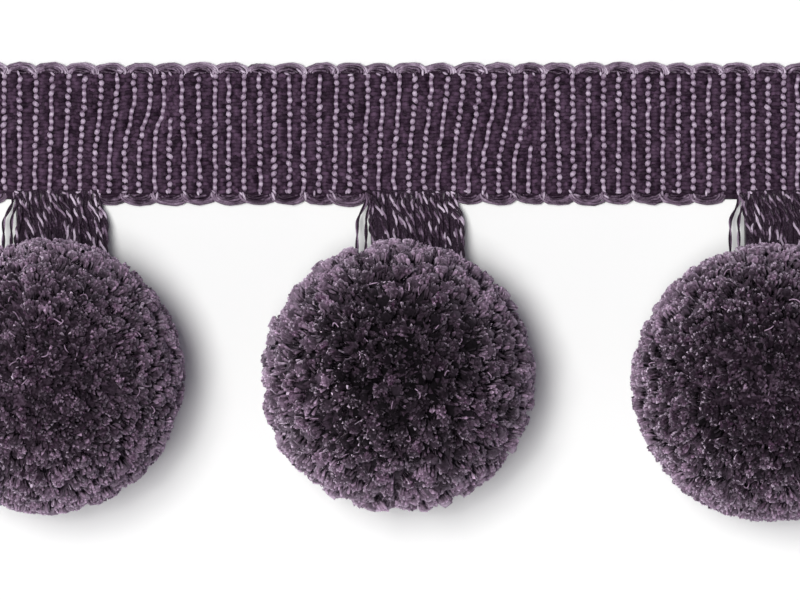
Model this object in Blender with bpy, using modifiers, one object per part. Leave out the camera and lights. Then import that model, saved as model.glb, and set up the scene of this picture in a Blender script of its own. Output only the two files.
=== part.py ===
"""Pompom fringe trim: a cut length of ribbed braid with three cut-yarn balls on short necks of strands.

The trim lies face up on a flat surface. X runs along the heading, Y across it with the balls towards -Y, and
Z is up. The origin is on the surface, at the middle of the trim's footprint. Lengths are in metres.
"""

from math import cos, pi, sqrt

import bmesh
import bpy
from mathutils import Vector, noise

MM = 0.001
GAP = 0.3 * MM  # between neighbouring pieces

# Heading: a ribbed braid with a scalloped cord edge on both sides.
HEADING_LENGTH = 108.0 * MM
HEADING_NEAR_Y = 9.60 * MM  # the ribs' end towards the balls
HEADING_FAR_Y = 21.90 * MM
RIB_COUNT = 72
RIB_PITCH = HEADING_LENGTH / RIB_COUNT
STEPS_PER_RIB = 4
VALLEY_HEIGHT = 1.20 * MM
RIB_RISE = 0.40 * MM
EDGE_REACH = 0.25 * MM  # how far the edge stands past the ribs where there is no scallop
SCALLOP_REACH = 0.80 * MM  # what a scallop adds to it
SCALLOP_PITCH = 2 * RIB_PITCH
CORD_CREST_HEIGHT = 0.85 * MM
CORD_SIDE_HEIGHT = 0.50 * MM

# How far each rib's far end is shifted along +X from its near end.
# Columns: x of the near end, shift.
RIB_LEAN = (
    (-54.0 * MM, 0.0 * MM),
    (-42.0 * MM, 0.2 * MM),
    (-28.0 * MM, 1.3 * MM),
    (-20.0 * MM, 0.0 * MM),
    (-8.0 * MM, 0.2 * MM),
    (9.0 * MM, 1.4 * MM),
    (16.0 * MM, 0.1 * MM),
    (26.0 * MM, 0.0 * MM),
    (34.0 * MM, 0.6 * MM),
    (54.0 * MM, 0.0 * MM),
)

# Balls of cut yarn. Columns: number, x, y, half width along X, half width along Y.
BALLS = (
    (1, -36.10 * MM, -8.45 * MM, 13.80 * MM, 13.75 * MM),
    (2, -1.10 * MM, -8.50 * MM, 13.85 * MM, 13.60 * MM),
    (3, 36.10 * MM, -9.05 * MM, 14.10 * MM, 13.90 * MM),
)
BALL_DETAIL = 4  # icosphere subdivisions
BALL_FLAT_DEPTH = 0.60 * MM  # what the surface flattens under each ball
TUFT_RISE = 0.45 * MM
TUFT_SIZE = 3.4 * MM
TUFT_SINK = 0.25  # share of the rise by which the mean surface lies inside the ball's half widths
TUFT_SEED_STEP = 10  # how far apart in the noise field two balls read their tufts

# Necks of strands. Columns: number, x and half width at the heading, x and half width at the ball.
NECKS = (
    (1, -35.50 * MM, 4.85 * MM, -35.50 * MM, 5.20 * MM),
    (2, -0.20 * MM, 4.60 * MM, 0.05 * MM, 5.35 * MM),
    (3, 37.60 * MM, 4.85 * MM, 37.40 * MM, 5.25 * MM),
)
NECK_THICKNESS = 1.30 * MM
NECK_START_HEIGHT = 0.85 * MM
NECK_BEND_Y = 7.0 * MM  # the neck leaves the heading level, and bends up towards the ball here
NECK_END_Y = 0.8 * MM
NECK_END_HEIGHT = 6.8 * MM
NECK_STRANDS = 8
NECK_STEPS_PER_STRAND = 2
NECK_STEPS_ALONG = 5
STRAND_RISE = 0.15 * MM

# Colour, roughness and metallic value of each kind of piece.
FINISHES = {
    "heading_braid": ((0.062, 0.040, 0.066, 1.0), 0.55, 0.0),
    "neck_strands": ((0.055, 0.034, 0.058, 1.0), 0.40, 0.0),
    "pompom_yarn": ((0.075, 0.050, 0.080, 1.0), 0.80, 0.0),
}


def make_material(name):
    colour, roughness, metallic = FINISHES[name]
    material = bpy.data.materials.new(name)
    material.use_nodes = True
    shader = material.node_tree.nodes["Principled BSDF"]
    shader.inputs["Base Color"].default_value = colour
    shader.inputs["Roughness"].default_value = roughness
    shader.inputs["Metallic"].default_value = metallic
    material.diffuse_color = colour
    return material


def make_object(name, mesh_in, collection, material=None):
    """Turns a bmesh into an object with outward faces."""
    bmesh.ops.recalc_face_normals(mesh_in, faces=mesh_in.faces)
    mesh = bpy.data.meshes.new(name)
    mesh_in.to_mesh(mesh)
    mesh_in.free()
    mesh.shade_smooth()
    if material:
        mesh.materials.append(material)
    obj = bpy.data.objects.new(name, mesh)
    collection.objects.link(obj)
    return obj


def read_table(table, x):
    """The second column of a two-column table, in between its rows."""
    before, after = table[0], table[-1]
    for row, following in zip(table, table[1:]):
        if row[0] <= x <= following[0]:
            before, after = row, following
    share = (x - before[0]) / (after[0] - before[0])
    return before[1] + (after[1] - before[1]) * share


def scallop(x):
    """From 0 in the valley between two scallops to 1 at a scallop's peak, round at the top."""
    across = 2 * ((x / SCALLOP_PITCH) % 1.0) - 1
    return sqrt(max(0.0, 1 - across * across))


def beside_a_neck(x):
    """Whether a neck leaves the heading's edge at x, so that no scallop has room there."""
    return any(abs(x - neck_x) < half_width + GAP for _, neck_x, half_width, _, _ in NECKS)


def make_heading(collection, material):
    """A flat-backed strip: a grid shaped into ribs and scallops, and pulled down to the surface."""
    columns = RIB_COUNT * STEPS_PER_RIB
    # Columns: y of the row's base, how much of the edge's reach it takes, side it is on, height, rib share.
    rows = (
        (HEADING_NEAR_Y, 1.0, -1, CORD_SIDE_HEIGHT, 0),
        (HEADING_NEAR_Y, 0.5, -1, CORD_CREST_HEIGHT, 0),
        (HEADING_NEAR_Y, 0.0, -1, VALLEY_HEIGHT, 1),
        (HEADING_FAR_Y, 0.0, 1, VALLEY_HEIGHT, 1),
        (HEADING_FAR_Y, 0.5, 1, CORD_CREST_HEIGHT, 0),
        (HEADING_FAR_Y, 1.0, 1, CORD_SIDE_HEIGHT, 0),
    )
    shape = bmesh.new()
    bmesh.ops.create_grid(shape, x_segments=columns, y_segments=len(rows) - 1, size=0.5)
    for vert in shape.verts:
        near_x = vert.co.x * HEADING_LENGTH
        base_y, reach_share, side, height, rib_share = rows[round((vert.co.y + 0.5) * (len(rows) - 1))]
        across = (base_y - HEADING_NEAR_Y) / (HEADING_FAR_Y - HEADING_NEAR_Y)
        rib = 0.5 + 0.5 * cos(2 * pi * near_x / RIB_PITCH)
        has_scallop = side > 0 or not beside_a_neck(near_x)
        reach = EDGE_REACH + has_scallop * SCALLOP_REACH * scallop(near_x)
        vert.co.x = near_x + across * read_table(RIB_LEAN, near_x)
        vert.co.y = base_y + side * reach_share * reach
        vert.co.z = height + rib_share * RIB_RISE * rib
    pulled = bmesh.ops.extrude_face_region(shape, geom=shape.faces[:])["geom"]
    back = [item for item in pulled if isinstance(item, bmesh.types.BMFace)]
    for vert in {vert for face in back for vert in face.verts}:
        vert.co.z = 0.0
    bmesh.ops.dissolve_faces(shape, faces=back, use_verts=True)
    return make_object("heading", shape, collection, material)


def ball_shape(x, y, half_x, half_y, number, grow):
    """A lumpy ball, grown by the given amount all round, before the surface flattens it."""
    half_z = (half_x + half_y) / 2
    centre = Vector((x, y, half_z - BALL_FLAT_DEPTH))
    shape = bmesh.new()
    bmesh.ops.create_icosphere(shape, subdivisions=BALL_DETAIL, radius=1.0)
    for vert in shape.verts:
        outward = vert.co.normalized()
        lump = noise.noise(outward * half_z / TUFT_SIZE + Vector((0, 0, TUFT_SEED_STEP * number)))
        rise = grow + TUFT_RISE * (lump - TUFT_SINK)
        vert.co = centre + outward * Vector((half_x + rise, half_y + rise, half_z + rise))
    return shape


def make_ball(ball, collection, material):
    number, x, y, half_x, half_y = ball
    shape = ball_shape(x, y, half_x, half_y, number, 0.0)
    everything = shape.verts[:] + shape.edges[:] + shape.faces[:]
    cut = bmesh.ops.bisect_plane(
        shape, geom=everything, dist=1e-7, plane_co=(0, 0, 0), plane_no=(0, 0, 1), clear_inner=True
    )
    rim = [item for item in cut["geom_cut"] if isinstance(item, bmesh.types.BMEdge)]
    bmesh.ops.edgeloop_fill(shape, edges=rim)
    return make_object(f"pompom_{number}", shape, collection, material)


def make_ball_cutter(ball, collection):
    number, x, y, half_x, half_y = ball
    cutter = make_object(
        f"ball_cutter_{number}", ball_shape(x, y, half_x, half_y, number, GAP), collection
    )
    cutter.hide_render = True
    cutter.display_type = "WIRE"
    return cutter


def neck_line(share):
    """The neck's middle line in Y and Z: level at the heading, then bending up into the ball."""
    start = Vector((HEADING_NEAR_Y - EDGE_REACH - GAP, NECK_START_HEIGHT))
    bend = Vector((NECK_BEND_Y, NECK_START_HEIGHT))
    end = Vector((NECK_END_Y, NECK_END_HEIGHT))
    return start.lerp(bend, share).lerp(bend.lerp(end, share), share)


def make_neck(neck, cutter, collection, material):
    """A curved strip with a soft ridge for each strand, ending against its ball."""
    number, near_x, near_half, ball_x, ball_half = neck
    steps = NECK_STRANDS * NECK_STEPS_PER_STRAND
    shape = bmesh.new()
    bmesh.ops.create_grid(shape, x_segments=steps, y_segments=NECK_STEPS_ALONG, size=0.5)
    for vert in shape.verts:
        share = 0.5 - vert.co.y
        side = 2 * vert.co.x
        middle_x = near_x + (ball_x - near_x) * share
        half_width = near_half + (ball_half - near_half) * share
        y, z = neck_line(share)
        ridge = STRAND_RISE * (0.5 - 0.5 * cos(pi * NECK_STRANDS * (side + 1)))
        vert.co = Vector((middle_x + side * half_width, y, z + ridge))
    obj = make_object(f"neck_{number}", shape, collection, material)
    wall = obj.modifiers.new("thickness", "SOLIDIFY")
    wall.thickness = NECK_THICKNESS
    wall.offset = 0.0
    cut = obj.modifiers.new("end at the ball", "BOOLEAN")
    cut.operation = "DIFFERENCE"
    cut.solver = "EXACT"
    cut.object = cutter
    return obj


def main():
    for obj in list(bpy.data.objects):
        bpy.data.objects.remove(obj, do_unlink=True)
    trim = bpy.data.collections.new("pompom_fringe_trim")
    cutters = bpy.data.collections.new("cutters")
    bpy.context.scene.collection.children.link(trim)
    bpy.context.scene.collection.children.link(cutters)
    materials = {name: make_material(name) for name in FINISHES}
    make_heading(trim, materials["heading_braid"])
    for ball, neck in zip(BALLS, NECKS):
        make_ball(ball, trim, materials["pompom_yarn"])
        make_neck(neck, make_ball_cutter(ball, cutters), trim, materials["neck_strands"])


main()
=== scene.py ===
from math import pi, radians, sqrt

import bmesh
import bpy
import numpy as np
from mathutils import Matrix, Vector, noise

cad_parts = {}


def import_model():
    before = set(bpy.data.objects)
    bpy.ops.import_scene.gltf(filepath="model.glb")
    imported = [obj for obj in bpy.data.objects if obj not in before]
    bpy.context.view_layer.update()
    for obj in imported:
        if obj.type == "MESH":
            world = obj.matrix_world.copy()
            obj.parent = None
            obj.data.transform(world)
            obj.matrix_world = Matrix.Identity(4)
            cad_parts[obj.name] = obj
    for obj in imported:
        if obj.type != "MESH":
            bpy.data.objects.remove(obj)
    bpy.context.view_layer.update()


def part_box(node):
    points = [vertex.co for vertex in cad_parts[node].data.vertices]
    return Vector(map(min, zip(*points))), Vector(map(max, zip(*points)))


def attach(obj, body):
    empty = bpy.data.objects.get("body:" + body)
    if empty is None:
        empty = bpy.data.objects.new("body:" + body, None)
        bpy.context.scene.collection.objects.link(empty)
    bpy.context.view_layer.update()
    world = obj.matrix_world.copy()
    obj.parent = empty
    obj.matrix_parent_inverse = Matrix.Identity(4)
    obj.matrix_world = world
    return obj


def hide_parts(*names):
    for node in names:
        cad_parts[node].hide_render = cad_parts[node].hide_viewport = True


MM = 0.001

# Heading weave. Thin dark warp yarns run along the heading over thick dark cords, and light threads lie
# between the cords. Every second warp yarn crosses over a light thread, which then shows as a row of beads.
HEADING_END = 54.0 * MM
WARP_COUNT = 34
WARP_PITCH = 0.35 * MM
FIRST_WARP_Y = 10.05 * MM
LAST_WARP_Y = FIRST_WARP_Y + (WARP_COUNT - 1) * WARP_PITCH
GROUND_NEAR_Y = FIRST_WARP_Y - 0.80 * MM
GROUND_FAR_Y = LAST_WARP_Y + 0.70 * MM
WARP_HEIGHT = 1.12 * MM
WARP_DIVE = 0.38 * MM  # how far a warp yarn goes down to pass under a light thread
GROUND_EDGE_HEIGHT = 0.30 * MM
CORD_RISE = 0.88 * MM  # what a cord adds to the height of the ground's edge
FURROW_DEPTH = 0.50 * MM
STEPS_PER_CORD = 6
THREAD_PITCH = 1.5 * MM
THREAD_COUNT = round(2 * HEADING_END / THREAD_PITCH) - 1
# Where the light threads lean. Columns: x of the near end in mm, how far the far end is shifted along +X
# in mm, and the shares of the way across between which the thread moves.
LEANS = (
    (-54, 0.0, 0.0, 1.0),
    (-38, 0.0, 0.0, 1.0),
    (-26, 1.2, 0.4, 0.8),
    (-23, -0.3, 0.4, 0.8),
    (-20, 0.0, 0.0, 1.0),
    (-10, 0.0, 0.0, 1.0),
    (5, 1.0, 0.2, 1.0),
    (11, 1.2, 0.2, 0.7),
    (14, -0.3, 0.2, 0.5),
    (17, 0.0, 0.0, 1.0),
    (54, 0.0, 0.0, 1.0),
)
# Light threads that run only from the near edge to a share of the way across. Columns: x in mm, share.
SHORT_THREADS = ((-24.0, 0.65), (12.0, 0.4))
TIE_MARGIN = 0.6 * MM  # no tie lies nearer than this to the heading's cut ends
LOOP_PITCH = 2 * THREAD_PITCH
LOOP_COUNT = THREAD_COUNT // 2

# Necks.
PLAIN_STRANDS = 15

# Pile.
GOLDEN_SHARE = 3 - sqrt(5)  # of a half turn, from each point of an even spiral to the next
OWN_ROUNDNESS = 0.50  # how much a fibre's own sides show in the pile, against the pile's soft surface
PILE_REACH = 0.25 * MM  # how far past the ball's mean radius a tuft would end that isn't sunk
PILE_LIMIT = 1.01  # the furthest out that a fibre may reach, in the ball's radius
FLUFF_COUNT = 2200
STRAY_COUNT = 70
# Columns: number, tufts, fibres in each, a tuft's half width, its lean, ruffle, depth of the inside, which is
# dark as painted shade, height above which the painted shade of the pile is darkest, tone, seed.
POMPOMS = (
    (1, 1500, 16, 0.58 * MM, 0.40 * MM, 0.8, 1.4 * MM, 1.18, 0.17, 11),
    (2, 1080, 22, 0.70 * MM, 0.50 * MM, 1.3, 1.8 * MM, 0.92, 0.21, 12),
    (3, 1500, 16, 0.58 * MM, 0.40 * MM, 0.8, 1.4 * MM, 0.88, 0.10, 13),
)


def smooth_step(low, high, value):
    share = np.clip((value - low) / (high - low), 0.0, 1.0)
    return share * share * (3 - 2 * share)


def unit(vectors):
    return vectors / np.maximum(np.linalg.norm(vectors, axis=-1, keepdims=True), 1e-12)


def unevenness(places, length, seed):
    """A smooth value at each place, about -1 to 1, that changes over the given length."""
    flat = places.reshape(-1, 3) / length + np.array([7.31 * seed, 0.0, 0.0])
    return np.array([1.6 * noise.noise(place) for place in flat]).reshape(places.shape[:-1])


def stack(x, y, z):
    """Points from arrays of coordinates that share a shape or can be spread to one."""
    return np.stack(np.broadcast_arrays(x, y, z), axis=-1)


# ---------------------------------------------------------------- swept yarns


def tube_template(sides, rings, pointed):
    """A closed upright tube of radius 1 with a ring at each whole height, from which every yarn is swept.

    A pointed tube's first and last rings are each drawn together into one point.
    """
    shape = bmesh.new()
    bmesh.ops.create_circle(shape, cap_ends=True, segments=sides, radius=1.0)
    bmesh.ops.rotate(shape, verts=shape.verts, matrix=Matrix.Rotation(pi / sides, 3, "Z"))
    first = shape.verts[:]
    top = shape.faces[:]
    for ring in range(1, rings):
        pulled = bmesh.ops.extrude_face_region(shape, geom=top)["geom"]
        if ring > 1:
            bmesh.ops.delete(shape, geom=top, context="FACES_ONLY")
        top = [item for item in pulled if isinstance(item, bmesh.types.BMFace)]
        moved = [item for item in pulled if isinstance(item, bmesh.types.BMVert)]
        bmesh.ops.translate(shape, verts=moved, vec=(0, 0, 1))
    if pointed:
        bmesh.ops.pointmerge(shape, verts=first, merge_co=(0, 0, 0))
        bmesh.ops.pointmerge(shape, verts=moved, merge_co=(0, 0, rings - 1))
    bmesh.ops.recalc_face_normals(shape, faces=shape.faces)
    shape.verts.index_update()
    points = np.array([vert.co[:] for vert in shape.verts])
    template = {
        "ring": np.rint(points[:, 2]).astype(int),
        "across": points[:, 0],
        "up": points[:, 1],
        "corners": np.array([v.index for face in shape.faces for v in face.verts]),
        "sizes": np.array([len(face.verts) for face in shape.faces]),
        "is_side": np.array([abs(face.normal.z) < 0.9 for face in shape.faces]),
    }
    shape.free()
    return template


def sweep(paths, radii, sides, facing, tones, shades=1.0, flatten=1.0, pointed=False, outward=None):
    """One tube along each path.

    paths is (strands, rings, 3), and radii, tones and shades spread to (strands, rings). facing is the
    direction that a tube's flat side looks along, and flatten is its thickness that way against its width.
    outward is the direction that the pile's surface faces round each strand.
    """
    strands, rings, _ = paths.shape
    radii, tones, shades = (np.broadcast_to(value, (strands, rings)) for value in (radii, tones, shades))
    template = tube_template(sides, rings, pointed)
    along = unit(np.gradient(paths, axis=1))
    across = unit(np.cross(np.broadcast_to(facing, along.shape), along))
    up = np.cross(along, across)
    ring = template["ring"]
    offset = template["across"][None, :, None] * across[:, ring]
    offset = offset + flatten * template["up"][None, :, None] * up[:, ring]
    points = paths[:, ring] + radii[:, ring, None] * offset
    steps = np.arange(strands)[:, None] * len(ring)
    if outward is None:
        faces = unit(offset)
    else:
        faces = unit(outward[:, None] + OWN_ROUNDNESS * offset)
    return {
        "points": points.reshape(-1, 3),
        "corners": (template["corners"][None] + steps).ravel(),
        "sizes": np.tile(template["sizes"], strands),
        "smooth": np.tile(template["is_side"], strands),
        "tone": tones[:, ring].ravel(),
        "shade": shades[:, ring].ravel(),
        "outward": faces.reshape(-1, 3),
    }


def mesh_part(mesh, tone, shade):
    """A bmesh as a part that can be joined with swept yarns."""
    bmesh.ops.recalc_face_normals(mesh, faces=mesh.faces)
    mesh.verts.index_update()
    points = np.array([vert.co[:] for vert in mesh.verts])
    part = {
        "points": points,
        "corners": np.array([v.index for face in mesh.faces for v in face.verts]),
        "sizes": np.array([len(face.verts) for face in mesh.faces]),
        "smooth": np.ones(len(mesh.faces), bool),
        "tone": np.full(len(points), tone),
        "shade": np.full(len(points), shade),
        "outward": np.array([vert.normal[:] for vert in mesh.verts]),
    }
    mesh.free()
    return part


def join(name, parts, material, has_pile=False):
    """One object from several parts, none of it under the surface, with each point's tone and shade."""
    start = np.cumsum([0] + [len(part["points"]) for part in parts[:-1]])
    corners = np.concatenate([part["corners"] + first for part, first in zip(parts, start)])
    whole = {key: np.concatenate([part[key] for part in parts]) for key in parts[0] if key != "corners"}
    whole["points"][:, 2] = np.maximum(whole["points"][:, 2], 0.0)
    mesh = bpy.data.meshes.new(name)
    mesh.vertices.add(len(whole["points"]))
    mesh.vertices.foreach_set("co", whole["points"].ravel())
    mesh.loops.add(len(corners))
    mesh.loops.foreach_set("vertex_index", corners)
    mesh.polygons.add(len(whole["sizes"]))
    mesh.polygons.foreach_set("loop_start", np.cumsum(whole["sizes"]) - whole["sizes"])
    mesh.update(calc_edges=True)
    mesh.polygons.foreach_set("use_smooth", whole["smooth"])
    for key in ("tone", "shade"):
        mesh.attributes.new(key, "FLOAT", "POINT").data.foreach_set("value", whole[key])
    if has_pile:
        outward = mesh.attributes.new("outward", "FLOAT_VECTOR", "POINT")
        outward.data.foreach_set("vector", whole["outward"].ravel())
    mesh.materials.append(material)
    obj = bpy.data.objects.new(name, mesh)
    bpy.context.scene.collection.objects.link(obj)
    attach(obj, "root")
    return obj


# ---------------------------------------------------------------- materials


def add_node(tree, kind, values=(), **settings):
    """A new node with its settings, its unlinked values and its links. values maps a socket to either."""
    node = tree.nodes.new("ShaderNode" + kind)
    for key, value in settings.items():
        setattr(node, key, value)
    for socket, value in dict(values).items():
        if isinstance(value, bpy.types.NodeSocket):
            tree.links.new(value, node.inputs[socket])
        else:
            node.inputs[socket].default_value = value
    return node


def add_math(tree, operation, first, second, clamp=False):
    return add_node(tree, "Math", {0: first, 1: second}, operation=operation, use_clamp=clamp).outputs[0]


def make_yarn_material(name, colours, grain, grain_depth, mottle, has_pile=False, **sockets):
    """Yarn from a dark to a light colour by its own tone, broken up by fine fibres, times its shade.

    The shade holds painted shade and painted light, besides yarns that differ at random. Pile is shaded by
    the direction that its soft surface faces, mixed with some of each fibre's own sides.
    """
    material = bpy.data.materials.new(name)
    material.use_nodes = True
    tree = material.node_tree
    shader = tree.nodes["Principled BSDF"]
    tone = add_node(tree, "Attribute", attribute_name="tone").outputs["Fac"]
    shade = add_node(tree, "Attribute", attribute_name="shade").outputs["Fac"]
    place = add_node(tree, "TexCoord").outputs["Object"]
    fibres = add_node(tree, "TexNoise", {"Vector": place, "Scale": 1 / grain, "Detail": 3.0}).outputs["Fac"]
    shift = add_math(tree, "MULTIPLY", add_math(tree, "SUBTRACT", fibres, 0.5), mottle)
    blend = add_math(tree, "ADD", tone, shift, clamp=True)
    ramp = add_node(tree, "ValToRGB", {"Fac": blend})
    for _ in colours[2:]:
        ramp.color_ramp.elements.new(0.5)
    for stop, (place_on_ramp, colour) in zip(ramp.color_ramp.elements, colours):
        stop.position = place_on_ramp
        stop.color = (*colour, 1)
    colour = add_node(tree, "VectorMath", {0: ramp.outputs["Color"], 3: shade}, operation="SCALE")
    tree.links.new(colour.outputs[0], shader.inputs["Base Color"])
    bump = add_node(tree, "Bump", {"Strength": 0.6, "Distance": grain_depth, "Height": fibres})
    if has_pile:
        outward = add_node(tree, "Attribute", attribute_name="outward").outputs["Vector"]
        tree.links.new(outward, bump.inputs["Normal"])
    tree.links.new(bump.outputs["Normal"], shader.inputs["Normal"])
    for socket, value in sockets.items():
        shader.inputs[socket.replace("_", " ")].default_value = value
    return material


# ---------------------------------------------------------------- heading


def thread_lines(shares):
    """x of every light thread at each share of the way across, and whether it is there, from 0 to 1."""
    near = (np.arange(THREAD_COUNT) - (THREAD_COUNT - 1) / 2) * THREAD_PITCH
    near = near + 0.10 * MM * unevenness(stack(near, 0.0, 0.0), 2.5 * MM, 8)
    knots = np.array(LEANS)
    shift, start, stop = (np.interp(near / MM, knots[:, 0], knots[:, column]) for column in (1, 2, 3))
    lines = near + shift * MM * smooth_step(start, stop, shares[:, None])
    there = np.ones_like(lines)
    for x, stop in SHORT_THREADS:
        place = int(np.argmin(abs(near - x * MM)))
        fade = smooth_step(stop + 0.03, stop - 0.03, shares)
        between = (lines[:, place - 1] + lines[:, place + 1]) / 2
        lines[:, place] = lines[:, place] * fade + between * (1 - fade)
        there[:, place] = fade
    return lines, there


def share_of(y):
    return (y - FIRST_WARP_Y) / (LAST_WARP_Y - FIRST_WARP_Y)


def looseness(lines, y):
    """How far the warp yarns stay under a light thread instead of crossing over it, from 0 to 1."""
    number = np.arange(lines.shape[-1])
    places = stack(number * 5.37 * MM, y[:, None], 0.0)
    return smooth_step(0.02, 0.30, unevenness(places, 3.2 * MM, 1))


def cord_columns(lines, there):
    """x at steps between the light threads, and how near each step is to the thread before and after it."""
    end = np.full((len(lines), 1), HEADING_END)
    lines = np.concatenate([-end, lines, end], axis=1)
    there = np.concatenate([end > 0, there, end > 0], axis=1)
    step = np.arange(STEPS_PER_CORD) / STEPS_PER_CORD
    x = lines[:, :-1, None] + (lines[:, 1:] - lines[:, :-1])[:, :, None] * step
    before = there[:, :-1, None] * smooth_step(0.42, 0.06, step)
    after = there[:, 1:, None] * smooth_step(0.42, 0.06, 1 - step)
    return x, before, after


def make_ground(material):
    """The cords that the warp yarns cover: a closed sheet with a furrow under each light thread."""
    y = np.linspace(GROUND_NEAR_Y, GROUND_FAR_Y, 32)
    lines, there = thread_lines(share_of(y))
    x, before, after = cord_columns(lines, there)
    x = np.concatenate([x.reshape(len(y), -1), np.full((len(y), 1), HEADING_END)], axis=1)
    furrow = np.concatenate([(before + after).reshape(len(y), -1), np.ones((len(y), 1))], axis=1)
    edge = smooth_step(0.0, 0.9 * MM, np.minimum(y - GROUND_NEAR_Y, GROUND_FAR_Y - y))
    z = GROUND_EDGE_HEIGHT + (CORD_RISE - FURROW_DEPTH * furrow) * edge[:, None]
    shape = bmesh.new()
    bmesh.ops.create_grid(shape, x_segments=x.shape[1] - 1, y_segments=len(y) - 1, size=0.5)
    for vert in shape.verts:
        column = round((vert.co.x + 0.5) * (x.shape[1] - 1))
        row = round((vert.co.y + 0.5) * (len(y) - 1))
        vert.co = (x[row, column], y[row], z[row, column])
    pulled = bmesh.ops.extrude_face_region(shape, geom=shape.faces[:])["geom"]
    back = [item for item in pulled if isinstance(item, bmesh.types.BMFace)]
    for vert in {vert for face in back for vert in face.verts}:
        vert.co.z = 0.0
    bmesh.ops.dissolve_faces(shape, faces=back, use_verts=True)
    bmesh.ops.triangulate(shape, faces=[face for face in shape.faces if len(face.verts) > 4])
    ground = join("heading_ground", [mesh_part(shape, 0.4, 0.8)], material)
    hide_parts("heading")
    return ground


def make_warps(material):
    """Thin dark yarns along the heading, each over one light thread and under the next."""
    rng = np.random.default_rng(5)
    y = FIRST_WARP_Y + WARP_PITCH * np.arange(WARP_COUNT)
    lines, there = thread_lines(share_of(y))
    x, before, after = cord_columns(lines, there)
    over = (np.arange(WARP_COUNT)[:, None] + np.arange(lines.shape[1])) % 2 == 0
    dive = WARP_DIVE * (1 - over * (1 - looseness(lines, y)))
    end = np.zeros((WARP_COUNT, 1))
    dive = np.concatenate([end, dive, end], axis=1)
    cord_height = 1.0 - (np.arange(STEPS_PER_CORD) / STEPS_PER_CORD * 2 - 1)**2
    z = WARP_HEIGHT + 0.08 * MM * cord_height - before * dive[:, :-1, None] - after * dive[:, 1:, None]
    paths = stack(x, y[:, None, None], z).reshape(WARP_COUNT, -1, 3)
    paths[..., 1] += 0.08 * MM * unevenness(paths, 1.2 * MM, 2) + rng.normal(0, 0.07 * MM, paths.shape[:2])
    paths[..., 2] += rng.normal(0, 0.06 * MM, paths.shape[:2])
    streak = smooth_step(0.15, 0.5, unevenness(stack(x, y[:, None, None], 0.0)[:, :, 2], 2.5 * MM, 7))
    tones = 0.46 + 0.38 * unevenness(paths, 0.45 * MM, 3) + rng.normal(0, 0.34, paths.shape[:2])
    tones[:, 2::STEPS_PER_CORD] += 0.8 * streak
    radii = (0.28 - 0.06 * (before + after)).reshape(WARP_COUNT, -1) * MM
    # Painted shade: the yarns darken beside each light thread, where the furrows are, and are lightest on the
    # cords' crests. The random factor is yarns that differ.
    shades = (1.16 - 0.68 * (before + after)).reshape(WARP_COUNT, -1)
    shades = shades * rng.uniform(0.62, 1.38, paths.shape[:2])
    yarns = sweep(paths, radii, 4, (0, 0, 1), tones, shades, flatten=0.48)
    return join("heading_warps", [yarns], material)


def make_threads(material):
    """The light threads between the cords, pinched where a warp yarn crosses over them."""
    y = np.linspace(FIRST_WARP_Y - 0.22 * MM, LAST_WARP_Y + 0.22 * MM, 100)
    lines, there = thread_lines(share_of(y))
    number = np.arange(lines.shape[1])
    loose = looseness(lines, y)
    phase = pi * ((y[:, None] - FIRST_WARP_Y) / WARP_PITCH + number)
    bead = 0.5 - 0.5 * np.cos(phase)
    swell = bead * (1 - loose) + (0.35 + 0.30 * bead) * loose
    end = smooth_step(0.0, 0.25 * MM, np.minimum(y - y[0], y[-1] - y))[:, None]
    wobble = unevenness(stack(lines, y[:, None], 0.0), 0.9 * MM, 4)
    slant = unevenness(stack(lines, y[:, None], 0.0), 2.5 * MM, 6)
    x = lines + (0.07 + 0.05 * loose) * MM * wobble
    x = x + (0.05 * np.sin(phase / 2) + 0.16 * slant * np.sin(phase)) * MM * (1 - loose)
    z = (1.00 + 0.20 * swell) * MM - (1 - there * end) * 0.5 * MM
    radii = (0.19 + 0.12 * swell) * MM * (0.4 + 0.6 * there * end)
    speckle = unevenness(stack(lines, y[:, None], 0.0), 0.7 * MM, 5)
    # Painted highlight: each bead is lightest in its middle, with painted shade where the thread is pinched.
    # The speckle is the thread's own uneven colour.
    tones = 0.22 + 0.45 * bead**2 + 0.04 * loose + 0.15 * speckle
    paths = stack(x, y[:, None], z).transpose(1, 0, 2)
    tubes = sweep(paths, radii.T, 5, (0, 0, 1), tones.T)
    return join("heading_threads", [tubes], material)


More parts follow.
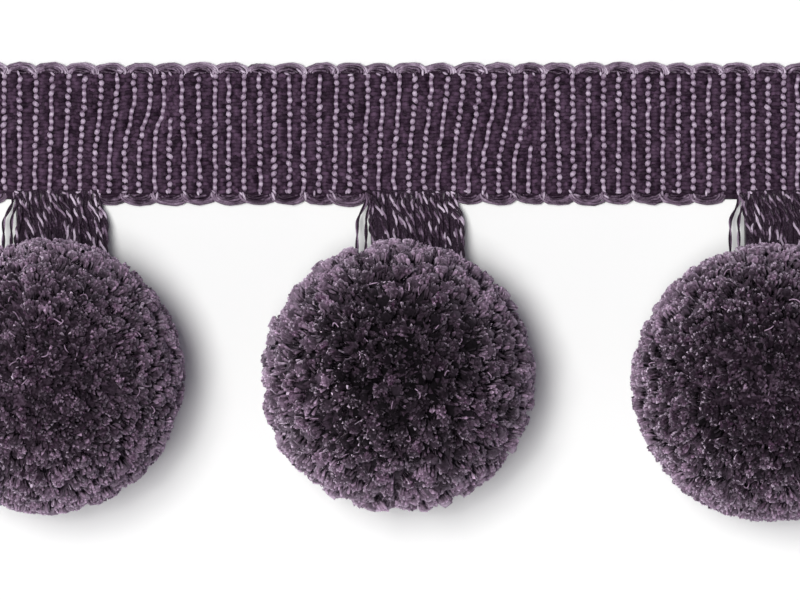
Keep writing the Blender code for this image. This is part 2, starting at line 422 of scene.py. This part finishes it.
def loop_bundle(centres, middle_y, half_width, depth, side, shine, seed):
    """The edge cord's loops: threads over a core, which arch outwards, each loop over the start of the next.

    shine is how light the threads are.
    """
    rng = np.random.default_rng(seed)
    share = np.linspace(0, 1, 13)
    arc = pi * (1.10 - 1.20 * share)
    # Columns: how far out the thread lies, height, tone, painted light added where it rises, radius. The
    # first row is the core. The tones hold painted shade across the cord: darkest on the inner lanes.
    lanes = np.array([
        (-0.15, 0.42, 0.00, 0.00, 0.340),
        (-0.56, 0.60, 0.05, 0.10, 0.135),
        (-0.36, 0.78, 0.08, 0.35, 0.135),
        (-0.16, 0.86, 0.14, 0.40, 0.135),
        (0.04, 0.84, 0.28, 0.15, 0.135),
        (0.22, 0.74, 0.42, 0.00, 0.135),
        (0.36, 0.55, 0.48, 0.00, 0.135),
    ])
    out, lift, tone, painted_rise_light, thickness = (lanes[:, column, None] for column in range(5))
    out = out + 0.10 * np.sin(1.6 * arc + 5.0 * out) + rng.normal(0, 0.06, (len(centres), len(lanes), 1))
    size = rng.normal(1.0, 0.04, (len(centres), 1, 1))
    x = centres[:, None, None] + (half_width * size + out * MM) * np.cos(arc)
    x = np.clip(x, -HEADING_END, HEADING_END)
    y = middle_y + side * (depth * size + out * MM) * np.sin(arc)
    z = lift * MM + side * 0.20 * MM * np.cos(arc)
    paths = stack(x, y, z).reshape(-1, len(arc), 3)
    for axis in range(3):
        paths[..., axis] += 0.07 * MM * unevenness(paths, 0.40 * MM, seed + axis)
    ahead = share if side > 0 else 1 - share
    # Painted shade where each loop starts under the one before, and painted light where it rises.
    tone = tone * (0.8 + 0.9 * smooth_step(0.45, 0.95, ahead)) + painted_rise_light * smooth_step(0.45, 0.20, ahead)
    tones = shine * tone + rng.normal(0, 0.05, (len(centres), len(lanes), 1))
    tones = tones.reshape(paths.shape[:2]) + 0.14 * unevenness(paths, 0.35 * MM, seed)
    tones = tones + rng.normal(0, 0.07, tones.shape)
    radii = np.tile(thickness, (len(centres), 1)) * MM * rng.uniform(0.8, 1.25, tones.shape)
    radii[:, [0, -1]] *= 0.6
    return sweep(paths, radii, 5, (0, 0, 1), tones)


def short_ties(x, y, half_length, slant, z, tone):
    """Short light threads that come up, cross over the edge and go down again, one at each x."""
    share = np.linspace(-1, 1, 5)
    along = half_length[:, None] * share
    paths = stack(
        x[:, None] + along * np.cos(slant)[:, None],
        y + along * np.sin(slant)[:, None],
        z - 0.20 * MM * share**2,
    )
    radii = 0.13 * MM * (1.0 - 0.35 * share**2)
    return sweep(paths, radii, 5, (0, 0, 1), tone[:, None])


def make_loops(material):
    """Both edges' loops, none where a neck leaves, with ties between them and at the light threads' ends."""
    rng = np.random.default_rng(24)
    necks = [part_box(f"neck_{number}") for number in (1, 2, 3)]
    threads = thread_lines(np.array([0.0, 1.0]))[0]
    parts = []
    # Columns: y of the loops' middle line, half width, depth, side, how light, x of the light threads' ends.
    for middle_y, half_width, depth, side, shine, threads_x in (
        (21.97 * MM, 1.34 * MM, 0.60 * MM, 1, 1.0, threads[1]),
        (9.72 * MM, 1.42 * MM, 0.67 * MM, -1, 0.6, threads[0]),
    ):
        centres = (np.arange(LOOP_COUNT) - (LOOP_COUNT - 1) / 2) * LOOP_PITCH
        centres = centres + rng.normal(0, 0.10 * MM, LOOP_COUNT)
        if side < 0:
            free = [all(not low[0] < x < high[0] for low, high in necks) for x in centres]
            centres = centres[free]
        parts.append(loop_bundle(centres, middle_y, half_width, depth, side, shine, 20 + side))
        # Columns: x of each tie, how far outside the loops' middle line, its half length, its height.
        for x, beyond, half_length, height in (
            (centres + side * 1.40 * MM, 0.10 * MM, 0.35 * MM, 1.30 * MM),
            (threads_x - 0.15 * MM, -0.20 * MM, 0.22 * MM, 1.36 * MM),
        ):
            x = x[rng.random(len(x)) < 0.75]
            x = x + rng.normal(0, 0.15 * MM, len(x))
            x = x[abs(x) < HEADING_END - TIE_MARGIN]
            y = middle_y + side * (beyond + rng.normal(0, 0.06 * MM, (len(x), 1)))
            slant = radians(-50) + rng.normal(0, 0.5, len(x))
            tone = rng.uniform(0.5, 0.9, len(x))
            sizes = half_length * rng.uniform(0.8, 1.3, len(x))
            parts.append(short_ties(x, y, sizes, slant, height, tone))
    return join("heading_loops", parts, material)


def make_heading(dark_yarn, light_yarn):
    ground = make_ground(dark_yarn)
    pieces = [make_warps(dark_yarn), make_threads(light_yarn), make_loops(light_yarn)]


# ---------------------------------------------------------------- necks


def make_neck(node, seed, material):
    """Strands from under the heading into the ball: plain ones below, loose two-ply ones on top."""
    rng = np.random.default_rng(seed)
    low, high = (np.array(corner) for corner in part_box(node))
    middle_x = (low[0] + high[0]) / 2
    half_width = (high[0] - low[0]) / 2
    share = np.linspace(0, 1, 56)
    # Where the neck's middle line starts, bends and ends. Columns: y, height.
    start = np.array([10.2, 0.95]) * MM
    bend = np.array([7.0, 2.4]) * MM
    end = np.array([1.2, 6.6]) * MM
    done = share[:, None]
    left = 1 - done
    line = left**2 * start + 2 * (done * left) * bend + done**2 * end
    opening = smooth_step(0.15, 0.45, share)

    def strand_lines(first, last, lift, wander):
        """Middle lines of strands between shares of the half width, lifted over the neck's middle line."""
        side = first[:, None] + (last - first)[:, None] * opening
        one_each = (len(first), 1)
        sway = rng.normal(0, 1, one_each) * np.sin(2.2 * pi * share + rng.uniform(0, 6, one_each))
        sway = sway + rng.normal(0.3, 0.8, one_each) * (share - 0.4)
        x = middle_x + side * half_width + wander * sway
        rise = lift + 0.12 * MM * rng.normal(size=one_each) * np.sin(pi * share) - 0.25 * MM * side**2
        return stack(x, line[:, 0], line[:, 1] + rise * smooth_step(0.0, 0.15, share))

    at_heading = np.linspace(-0.66, 0.74, PLAIN_STRANDS)
    at_ball = np.linspace(-0.64, 0.92, PLAIN_STRANDS)
    below = strand_lines(at_heading, at_ball, -0.50 * MM, 0.03 * MM)[:, ::5]
    parts = [sweep(below, 0.46 * MM, 6, (0, 0, 1), 0.05, 0.55)]
    # Columns: sides of the outermost strands at the heading and at the ball, how many strands, height over
    # the middle line, sideways wander, turns, tone of the light ply, thickness.
    for first, last, count, lift, wander, turns, light_tone, thickness in (
        ((-0.80, -0.72), (-0.97, -0.81), 2, 0.0, 0.01 * MM, 2.5, 0.60, 0.12 * MM),
        ((0.78, 0.85), (0.90, 0.99), 2, 0.0, 0.03 * MM, 4.0, 0.80, 0.17 * MM),
        ((-0.72, 0.76), (-0.67, 0.88), 12, -0.05 * MM, 0.25 * MM, 5.0, 0.40, 0.16 * MM),
        ((-0.70, 0.76), (-0.66, 0.90), 13, 0.32 * MM, 0.38 * MM, 5.0, 0.78, 0.16 * MM),
    ):
        jitter = rng.normal(0, 0.02, count)
        at_heading = np.linspace(*first, count) + jitter
        at_ball = np.linspace(*last, count) + jitter
        centre = strand_lines(at_heading, at_ball, lift, wander)
        along = unit(np.gradient(centre, axis=1))
        across = unit(np.cross(along, (0.0, 0.0, 1.0)))
        up = np.cross(across, along)
        one_each = (count, 1)
        turn = rng.uniform(0, 2 * pi, one_each) + 2 * pi * share * turns * rng.uniform(0.85, 1.15, one_each)
        # The light ply and the dark one. Columns: turn against the light ply, tone, shade, radius.
        for own_turn, tone, shade, radius in (
            (0.0, light_tone, 1.0, 0.95 * thickness),
            (pi, 0.03, 0.6, 1.15 * thickness),
        ):
            angle = turn + own_turn
            aside = np.cos(angle)[..., None] * across + np.sin(angle)[..., None] * up
            paths = centre + 0.75 * thickness * aside
            # Painted shade of the hollows between strands: in patches their tone falls to a tenth.
            patches = smooth_step(-0.35, 0.15, unevenness(centre, 1.2 * MM, seed))
            tones = tone * rng.uniform(0.6, 1.2, one_each) * (0.10 + 0.90 * patches)
            parts.append(sweep(paths, radius, 4, (0, 0, 1), tones, shade))
    piece = join(f"{node}_strands", parts, material)
    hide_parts(node)


# ---------------------------------------------------------------- pompoms


def even_directions(count):
    """Directions spread evenly over a ball."""
    index = np.arange(count) + 0.5
    height = 1 - 2 * index / count
    turn = index * pi * GOLDEN_SHARE
    level = np.sqrt(1 - height * height)
    return np.stack([level * np.cos(turn), level * np.sin(turn), height], axis=1)


def stray_fibres(count, radius, rng):
    """Fibres that have come loose and lie curled on the ball, round its middle."""
    axis = unit(rng.normal(size=(count, 3)) + (0.0, 0.0, 0.5))
    along = unit(np.cross(axis, rng.normal(size=(count, 3))))
    aside = np.cross(axis, along)
    share = np.linspace(-0.5, 0.5, 5)[:, None]
    length = rng.uniform(0.6 * MM, 1.4 * MM, (count, 1, 1)) / radius
    curl = rng.normal(0, 0.9, (count, 1, 1))
    heading = unit(axis[:, None] + length * (share * along[:, None] + curl * share**2 * aside[:, None]))
    level = radius - rng.uniform(0.1 * MM, 0.5 * MM, (count, 1, 1)) - 1.6 * MM * share**2
    return heading * level


def make_pompom(node, tufts, fibres_each, tuft_radius, lean, ruffle, depth, middle, tone, seed, material):
    """A ball of cut yarn: tufts of short blunt fibres that stand out of a shaded middle and lean to all
    sides.

    ruffle is how much the tufts differ in height and shade. depth is how deep the inside lies, which is dark
    as painted shade. Painted shade makes the pile darkest above the height middle, which is a share of the
    ball's radius over its centre, and painted light makes it lighter down to its outline and a little towards
    -X. Where middle is over 1, the top isn't quite darkest.
    """
    rng = np.random.default_rng(seed)
    low, high = (np.array(corner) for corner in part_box(node))
    ball = (high - low) / 2
    ball[2] = (ball[0] + ball[1]) / 2
    centre = (high + low) / 2
    centre[2] = high[2] - ball[2]
    radius = ball.mean()

    axis = unit(even_directions(tufts) + rng.normal(0, 0.32 * sqrt(4 / tufts), (tufts, 3)))
    side = unit(np.cross(axis, rng.normal(size=(tufts, 3))))
    other = np.cross(axis, side)
    place = axis * radius
    drift = np.stack([unevenness(place, 3.0 * MM, seed + step) for step in (1, 2)], axis=1) * 0.35 * MM
    shift = drift + rng.normal(0, lean, (tufts, 2))
    sunk = ruffle * (1.3 * MM * rng.random(tufts)**2.5 - 0.25 * MM * unevenness(place, 3.2 * MM, seed))

    turn = np.arange(fibres_each) * pi * GOLDEN_SHARE + rng.uniform(0, 2 * pi, (tufts, 1))
    spread = np.sqrt((np.arange(fibres_each) + 0.5) / fibres_each)
    spread = spread * rng.uniform(0.8, 1.15, (tufts, fibres_each))
    size = tuft_radius * rng.uniform(0.7, 1.35, (tufts, 1))
    stretch = rng.uniform(1.0, 1.5, (tufts, 1))
    tip_depth = (0.10 + 0.28 * ruffle) * MM * spread**2 + abs(rng.normal(0, 0.08 * MM, (tufts, fibres_each)))
    stray = rng.normal(0, 0.17 * MM, (2, tufts, fibres_each))
    rings = []
    # Columns: depth under the fibre's end, share of the lean, width against the tuft's widest place.
    for down, lean_share, width in ((1.8 * MM, 0.0, 0.75), (0.16 * MM, 0.9, 0.95), (0.0, 1.0, 0.92)):
        level = radius + PILE_REACH - sunk[:, None] - down - tip_depth
        u = size * stretch * spread * width * np.cos(turn) + lean_share * (shift[:, :1] + stray[0])
        v = size / stretch * spread * width * np.sin(turn) + lean_share * (shift[:, 1:] + stray[1])
        ring = axis[:, None] * level[..., None] + side[:, None] * u[..., None] + other[:, None] * v[..., None]
        over = np.maximum(np.linalg.norm(ring, axis=-1, keepdims=True) / (radius * PILE_LIMIT), 1.0)
        rings.append(ring / over)

    def settled(inside):
        """Places round the ball's middle, stretched to its outline and kept off the surface under it."""
        placed = centre + inside / radius * ball
        placed[..., 2] = np.maximum(placed[..., 2], 0.15 * MM)
        return placed

    paths = settled(np.stack(rings, axis=2).reshape(-1, 3, 3))
    count = len(paths)
    radii = 0.20 * MM * rng.uniform(0.75, 1.25, (count, 1)) * np.array([0.8, 1.0, 0.5])
    # Painted shade and light: the pile is darkest on top, lighter down its sides and towards -X, and lighter
    # again round its outline.
    painted_light = 1.0 - smooth_step(0.15, middle, axis[:, 2])
    painted_light = painted_light * (1.0 - 0.16 * axis[:, 0] + 0.02 * axis[:, 1])
    painted_rim_light = 1.0 - smooth_step(0.0, 0.45, axis[:, 2])
    tuft_tone = tone + 0.22 * painted_light + 0.10 * painted_rim_light + ruffle * rng.normal(0, 0.06, tufts)
    tuft_tone = tuft_tone + 0.10 * unevenness(place, 2.2 * MM, seed + 3)
    # Painted light: each tuft's outer fibres are lighter, as lit outlines. The random parts are fibres that
    # differ.
    tones = tuft_tone[:, None] + 0.22 * (spread - 0.6) + rng.normal(0, 0.04, (tufts, fibres_each))
    glint = 0.32 * (rng.random((tufts, fibres_each)) < 0.035)
    tones = (tones + glint).reshape(-1, 1)
    # Painted shade: sunk tufts are darker. The patches and the random factor are tufts that differ.
    tuft_shade = np.clip(1.15 - sunk / (1.1 * MM), 0.3, 1.3) * (0.25 + 0.80 * painted_light + 0.38 * painted_rim_light)
    patches = 0.40 * unevenness(place, 3.5 * MM, seed + 4) + 0.45 * unevenness(place, 1.6 * MM, seed + 5)
    tuft_shade = np.minimum(tuft_shade * np.exp(patches + ruffle * rng.normal(0, 0.52, tufts)), 2.0)
    plies = np.exp(1.1 * unevenness(paths[:, 2], 0.65 * MM, seed + 6))
    shades = np.minimum(np.repeat(tuft_shade, fibres_each) * plies, 1.5)
    # Painted shade deep in the pile and painted light at each fibre's end.
    shades = shades[:, None] * np.array([0.10, 0.62, 1.35])
    facing = rng.normal(size=(count, 1, 3))
    dome = side[:, None] * np.cos(turn)[..., None] + other[:, None] * np.sin(turn)[..., None]
    own_tilt = rng.normal(0, 0.35, (tufts, fibres_each, 3))  # each fibre catches the light its own way
    outward = unit(axis[:, None] + 0.9 * spread[..., None] * dome + own_tilt).reshape(-1, 3)
    fibres = sweep(paths, radii, 3, facing, tones, shades, pointed=True, outward=outward)

    # The tight inside of each tuft, which closes the chinks between its fibres, given painted shade.
    rings = []
    for down, lean_share in ((1.5 * MM, 0.0), (0.50 * MM, 0.7), (0.20 * MM, 1.0)):
        level = (radius + PILE_REACH - sunk - down)[:, None]
        rings.append(axis * level + lean_share * (side * shift[:, :1] + other * shift[:, 1:]))
    bodies = sweep(
        settled(np.stack(rings, axis=1)), 0.85 * size * np.array([0.8, 1.0, 0.5]), 5, side[:, None],
        tuft_tone[:, None] - 0.05, tuft_shade[:, None] * np.array([0.1, 0.3, 0.5]),
        pointed=True, outward=axis,
    )

    # Fluff between the tufts: wide spikes on the ball's inside, dark with painted shade.
    inside = radius - depth
    foot = unit(rng.normal(size=(FLUFF_COUNT, 3)))
    spike = (inside + 0.5 * depth) * unit(foot + rng.normal(0, 0.5 * MM / radius, foot.shape))
    spikes = settled(np.stack([(inside - 1.0 * MM) * foot, (inside - 0.1 * MM) * foot, spike], axis=1))
    # Painted shade for the ball's inside and the fluff, darkest at the fluff's foot and in the core.
    dark = np.array([0.1, 0.2, 0.4]) + 0.3 * (1 - ruffle)
    fluff = sweep(spikes, 0.45 * MM, 3, (0, 0, 1), 0.2, dark, pointed=True, outward=foot)
    curled = settled(stray_fibres(STRAY_COUNT, radius, rng))
    strays = sweep(curled, 0.07 * MM, 4, (0, 0, 1), rng.uniform(0.3, 0.65, (STRAY_COUNT, 1)))

    core = bmesh.new()
    bmesh.ops.create_icosphere(core, subdivisions=4, radius=1.0)
    for vert in core.verts:
        vert.co = Vector(centre) + vert.co * Vector(ball) * (inside / radius)
    parts = [mesh_part(core, tone, dark[0]), fluff, bodies, fibres, strays]
    piece = join(f"{node}_yarn", parts, material, has_pile=True)
    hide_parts(node)


# ---------------------------------------------------------------- studio


def make_floor():
    shape = bmesh.new()
    bmesh.ops.create_grid(shape, x_segments=1, y_segments=1, size=6.0)
    bmesh.ops.translate(shape, verts=shape.verts, vec=(0, 0, -0.02 * MM))
    mesh = bpy.data.meshes.new("floor")
    shape.to_mesh(mesh)
    shape.free()
    material = bpy.data.materials.new("floor_paper")
    material.use_nodes = True
    shader = material.node_tree.nodes["Principled BSDF"]
    shader.inputs["Base Color"].default_value = (0.93, 0.93, 0.93, 1)
    shader.inputs["Roughness"].default_value = 0.9
    shader.inputs["Specular IOR Level"].default_value = 0.1
    mesh.materials.append(material)
    floor = bpy.data.objects.new("floor", mesh)
    bpy.context.scene.collection.objects.link(floor)


def make_lights():
    world = bpy.data.worlds.new("studio")
    bpy.context.scene.world = world
    world.use_nodes = True
    world.node_tree.nodes["Background"].inputs["Color"].default_value = (1.04, 1.0, 1.20, 1)
    world.node_tree.nodes["Background"].inputs["Strength"].default_value = 0.15
    # Columns: name, direction it shines in, strength, softness in degrees.
    for name, direction, strength, softness in (
        ("left_panel", (0.189, -0.123, -0.974), 1.36, 15),
        ("top_panel", (0.115, 0.052, -0.992), 1.58, 15.5),
        ("fill", (0.80, 0.50, -0.35), 0.60, 60),
    ):
        data = bpy.data.lights.new(name, "SUN")
        data.color = (0.994, 1.0, 0.975)
        data.energy = strength
        data.angle = radians(softness)
        light = bpy.data.objects.new(name, data)
        light.rotation_euler = Vector(direction).to_track_quat("-Z", "Y").to_euler()
        bpy.context.scene.collection.objects.link(light)


def make_camera():
    data = bpy.data.cameras.new("camera")
    data.lens = 800
    data.sensor_width = 36
    camera = bpy.data.objects.new("camera", data)
    frame_width = 80 * MM
    height = 5 * MM + frame_width * data.lens / data.sensor_width
    camera.location = (-0.9 * MM, -0.85 * MM, height)
    bpy.context.scene.collection.objects.link(camera)
    bpy.context.scene.camera = camera
    bpy.context.scene.view_settings.view_transform = "Standard"


def main():
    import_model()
    dark_yarn = make_yarn_material(
        "dark_matte_yarn", ((0.0, (0.018, 0.008, 0.018)), (1.0, (0.072, 0.040, 0.072))),
        0.20 * MM, 0.03 * MM, 1.2, Roughness=0.65, Specular_IOR_Level=0.12,
    )
    light_yarn = make_yarn_material(
        "light_lustrous_yarn",
        ((0.0, (0.030, 0.014, 0.030)), (0.4, (0.215, 0.145, 0.22)), (1.0, (0.74, 0.62, 0.76))),
        0.16 * MM, 0.02 * MM, 0.6, Roughness=0.45, Specular_IOR_Level=0.35,
    )
    cut_yarn = make_yarn_material(
        "cut_yarn", ((0.0, (0.057, 0.024, 0.053)), (1.0, (0.61, 0.440, 0.61))),
        0.30 * MM, 0.04 * MM, 1.1, has_pile=True, Roughness=0.8, Specular_IOR_Level=0.05,
        Sheen_Weight=1.0, Sheen_Roughness=0.45, Sheen_Tint=(0.75, 0.60, 0.77, 1.0),
    )
    make_heading(dark_yarn, light_yarn)
    for number in (1, 2, 3):
        make_neck(f"neck_{number}", 30 + number, light_yarn)
    for number, *pile in POMPOMS:
        make_pompom(f"pompom_{number}", *pile, cut_yarn)
    make_floor()
    make_lights()
    make_camera()


main()
